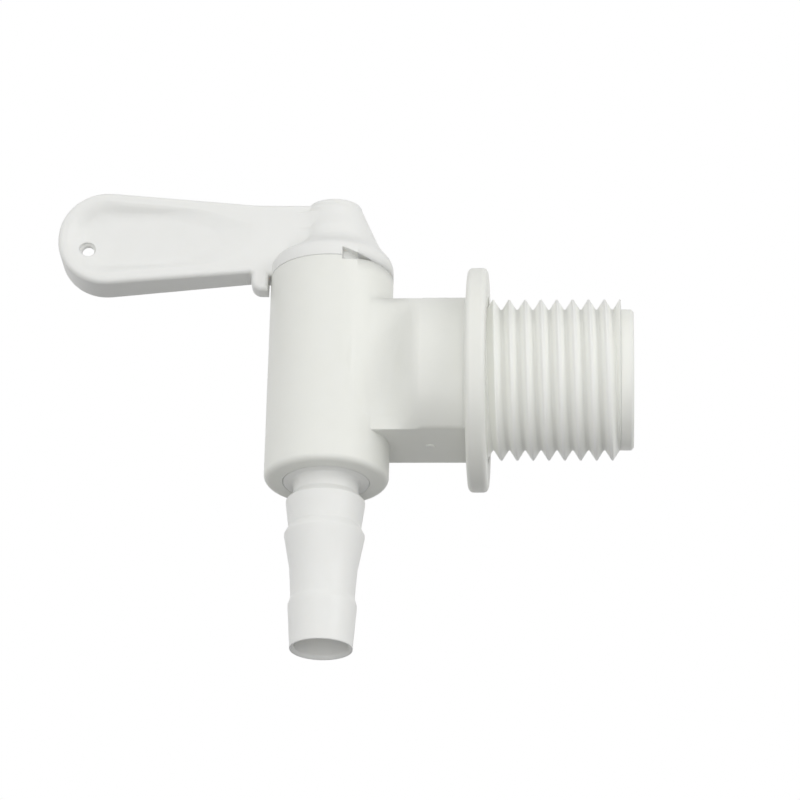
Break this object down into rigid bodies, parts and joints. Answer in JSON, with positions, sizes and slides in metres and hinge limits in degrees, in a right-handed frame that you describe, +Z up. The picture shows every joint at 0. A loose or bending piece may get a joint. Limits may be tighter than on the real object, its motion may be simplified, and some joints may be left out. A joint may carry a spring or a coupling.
{
  "type": "bottling bucket spigot",
  "caption": "Moulded bucket spigot: a threaded, flanged tail and a vertical barrel in which a lever turns a hollow plug with a barbed hose outlet.",
  "frame": {"origin": "centre of the flange's sealing face, on the thread's axis", "axes": "+X along the threaded tail, into the bucket; +Z up the barrel, towards the head; +Y away from the viewer of the picture"},
  "size_m": [0.0872, 0.0334, 0.0731],
  "materials": {
    "body_plastic": "white moulded polypropylene, semi-matt",
    "rotor_plastic": "white moulded polypropylene, semi-matt, slightly smoother"
  },
  "bodies": {
    "body": {"spigot_body": "body_plastic"},
    "valve": {"valve_rotor": "rotor_plastic"}
  },
  "joints": [
    {"name": "lever_turn", "type": "hinge", "parent": "body", "child": "valve", "pos_m": [-0.0238, 0, 0], "axis": [0, 0, 1], "range_deg": [-150, 150]}
  ]
}
